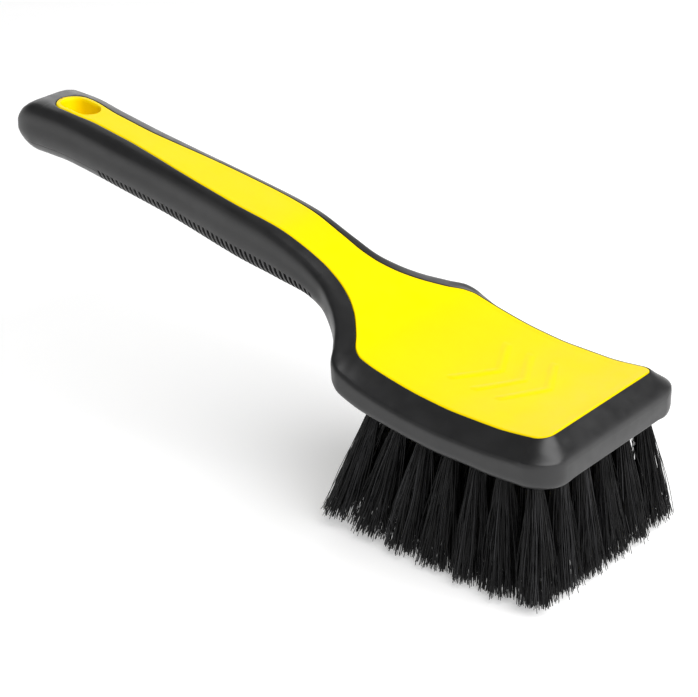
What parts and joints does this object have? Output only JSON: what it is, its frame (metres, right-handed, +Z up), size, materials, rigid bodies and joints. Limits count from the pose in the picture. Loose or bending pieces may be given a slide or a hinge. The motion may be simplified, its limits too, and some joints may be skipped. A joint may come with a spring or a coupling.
{
  "type": "wheel brush",
  "caption": "Short-handled scrubbing brush with a raised handle, hard core strip, soft grip that wraps the handle and rims the head, hang hole and stiff fanned bristle tufts.",
  "frame": {"origin": "under the middle of the brush's box, in the plane of the lowest bristle tips", "axes": "+X from the handle end to the nose of the head, +Z up out of the head's top face, +Y across; the brush is the same on both sides of y = 0"},
  "size_m": [0.2772, 0.0834, 0.1082],
  "materials": {
    "core_yellow": "moulded hard plastic, satin gloss, bright yellow",
    "grip_black": "soft moulded rubber, matt black",
    "bristle_black": "stiff black synthetic filaments"
  },
  "bodies": {
    "root": {"core": "core_yellow", "grip_overmould": "grip_black", "tuft_row1_col1": "bristle_black", "tuft_row1_col2": "bristle_black", "tuft_row1_col3": "bristle_black", "tuft_row1_col4": "bristle_black", "tuft_row1_col5": "bristle_black", "tuft_row1_col6": "bristle_black", "tuft_row2_col1": "bristle_black", "tuft_row2_col2": "bristle_black", "tuft_row2_col3": "bristle_black", "tuft_row2_col4": "bristle_black", "tuft_row2_col5": "bristle_black", "tuft_row2_col6": "bristle_black", "tuft_row3_col1": "bristle_black", "tuft_row3_col2": "bristle_black", "tuft_row3_col3": "bristle_black", "tuft_row3_col4": "bristle_black", "tuft_row3_col5": "bristle_black", "tuft_row3_col6": "bristle_black", "tuft_row4_col1": "bristle_black", "tuft_row4_col2": "bristle_black", "tuft_row4_col3": "bristle_black", "tuft_row4_col4": "bristle_black", "tuft_row4_col5": "bristle_black", "tuft_row4_col6": "bristle_black", "tuft_row5_col1": "bristle_black", "tuft_row5_col2": "bristle_black", "tuft_row5_col3": "bristle_black", "tuft_row5_col4": "bristle_black", "tuft_row5_col5": "bristle_black", "tuft_row5_col6": "bristle_black", "tuft_row6_col1": "bristle_black", "tuft_row6_col2": "bristle_black", "tuft_row6_col3": "bristle_black", "tuft_row6_col4": "bristle_black", "tuft_row6_col5": "bristle_black", "tuft_row6_col6": "bristle_black", "tuft_row7_col1": "bristle_black", "tuft_row7_col2": "bristle_black", "tuft_row7_col3": "bristle_black", "tuft_row7_col4": "bristle_black", "tuft_row7_col5": "bristle_black", "tuft_row7_col6": "bristle_black"}
  },
  "joints": []
}
